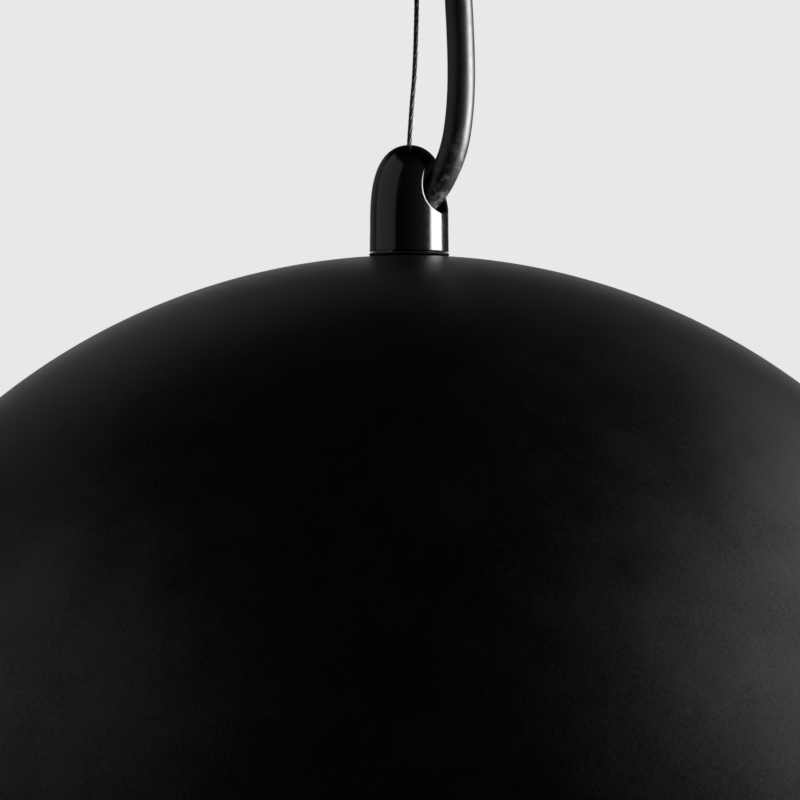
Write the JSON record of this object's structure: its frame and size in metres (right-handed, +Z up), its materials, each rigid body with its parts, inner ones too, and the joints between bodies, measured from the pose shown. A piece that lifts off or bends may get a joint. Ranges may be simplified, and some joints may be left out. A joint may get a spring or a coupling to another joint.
{
  "type": "pendant ceiling light",
  "caption": "Dome pendant light: a deep shade on a thin steel rope, its power cord rising beside the rope from a round-topped head to a ceiling canopy, with a screw-in bulb inside.",
  "frame": {"origin": "middle of the top face of the ceiling bracket, which rests on the ceiling", "axes": "+Z up; +X the side on which the cord leaves the head; -Y the front"},
  "size_m": [0.35, 0.35, 0.3049],
  "materials": {
    "matt_black_lacquer": "matte",
    "gloss_black": "gloss",
    "cord_sheath": "satin",
    "black_rubber": "matte",
    "steel": "brushed",
    "steel_rope": "stranded",
    "brass": "satin",
    "nickel": "polished",
    "white_nylon": "satin",
    "black_bakelite": "satin",
    "porcelain": "glazed",
    "opal_diffuser": "opal",
    "brown_core": "satin",
    "blue_core": "satin",
    "green_yellow_core": "satin"
  },
  "bodies": {
    "ceiling": {"ceiling_bracket": "steel", "gripper_housing": "nickel", "gripper_spring": "steel", "rope_tail": "steel_rope", "cord_tail": "cord_sheath", "canopy": "matt_black_lacquer", "canopy_nut": "gloss_black", "cord_gland": "gloss_black", "gland_nut": "white_nylon", "terminal_block": "white_nylon", "terminal_tube_1": "brass", "terminal_tube_2": "brass", "terminal_tube_3": "brass", "terminal_screw_1": "steel", "terminal_screw_2": "steel", "terminal_screw_3": "steel", "terminal_screw_4": "steel", "terminal_screw_5": "steel", "terminal_screw_6": "steel", "block_rivet": "steel", "core_live_top": "brown_core", "core_neutral_top": "blue_core", "core_earth_top": "green_yellow_core"},
    "plunger": {"gripper_plunger": "nickel", "gripper_ball_1": "steel", "gripper_ball_2": "steel", "gripper_ball_3": "steel"},
    "boot": {"cord_boot": "black_rubber"},
    "lamp": {"suspension_rope": "steel_rope", "power_cord": "cord_sheath", "rope_ferrule": "nickel", "head": "gloss_black", "head_grub_screw": "steel", "head_gasket": "black_rubber", "shade": "matt_black_lacquer", "threaded_tube": "steel", "backing_washer": "steel", "toothed_washer": "steel", "lock_nut": "steel", "holder_cap": "black_bakelite", "cap_grub_screw": "steel", "holder_insert": "porcelain", "holder_skirt": "black_bakelite", "screw_shell": "brass", "holder_ring": "black_bakelite", "centre_contact": "brass", "side_contact": "brass", "live_terminal": "brass", "neutral_terminal": "brass", "core_live": "brown_core", "core_neutral": "blue_core", "core_earth": "green_yellow_core", "earth_screw": "steel"},
    "bulb_tip": {"bulb_contact": "nickel", "bulb_insulator": "black_bakelite"},
    "bulb": {"bulb_cap": "nickel", "bulb_collar": "white_nylon", "light_board": "porcelain", "bulb_globe": "opal_diffuser"}
  },
  "joints": [
    {"name": "plunger_press", "type": "slide", "parent": "ceiling", "child": "plunger", "axis": [0, 0, 1], "range_m": [0, 0.0025], "stiffness_N_per_m": 400, "springref_m": -0.003, "deforming": ["gripper_spring"]},
    {"name": "swing_fore_aft", "type": "hinge", "parent": "ceiling", "child": "boot", "pos_m": [0, 0, -0.037], "axis": [1, 0, 0], "range_deg": [-15, 15]},
    {"name": "swing_sideways", "type": "hinge", "parent": "boot", "child": "lamp", "pos_m": [0, 0, -0.037], "axis": [0, 1, 0], "range_deg": [-15, 15], "deforming": ["power_cord"]},
    {"name": "bulb_travel", "type": "slide", "parent": "lamp", "child": "bulb_tip", "axis": [0, 0, -1], "range_m": [0, 0.0218]},
    {"name": "bulb_turn", "type": "hinge", "parent": "bulb_tip", "child": "bulb", "pos_m": [0, 0, -0.13], "axis": [0, 0, -1], "range_deg": [0, 2160]}
  ],
  "couplings": [
    {"joint": "bulb_travel", "follows": "bulb_turn", "m_per_rad": 0.00057757}
  ]
}
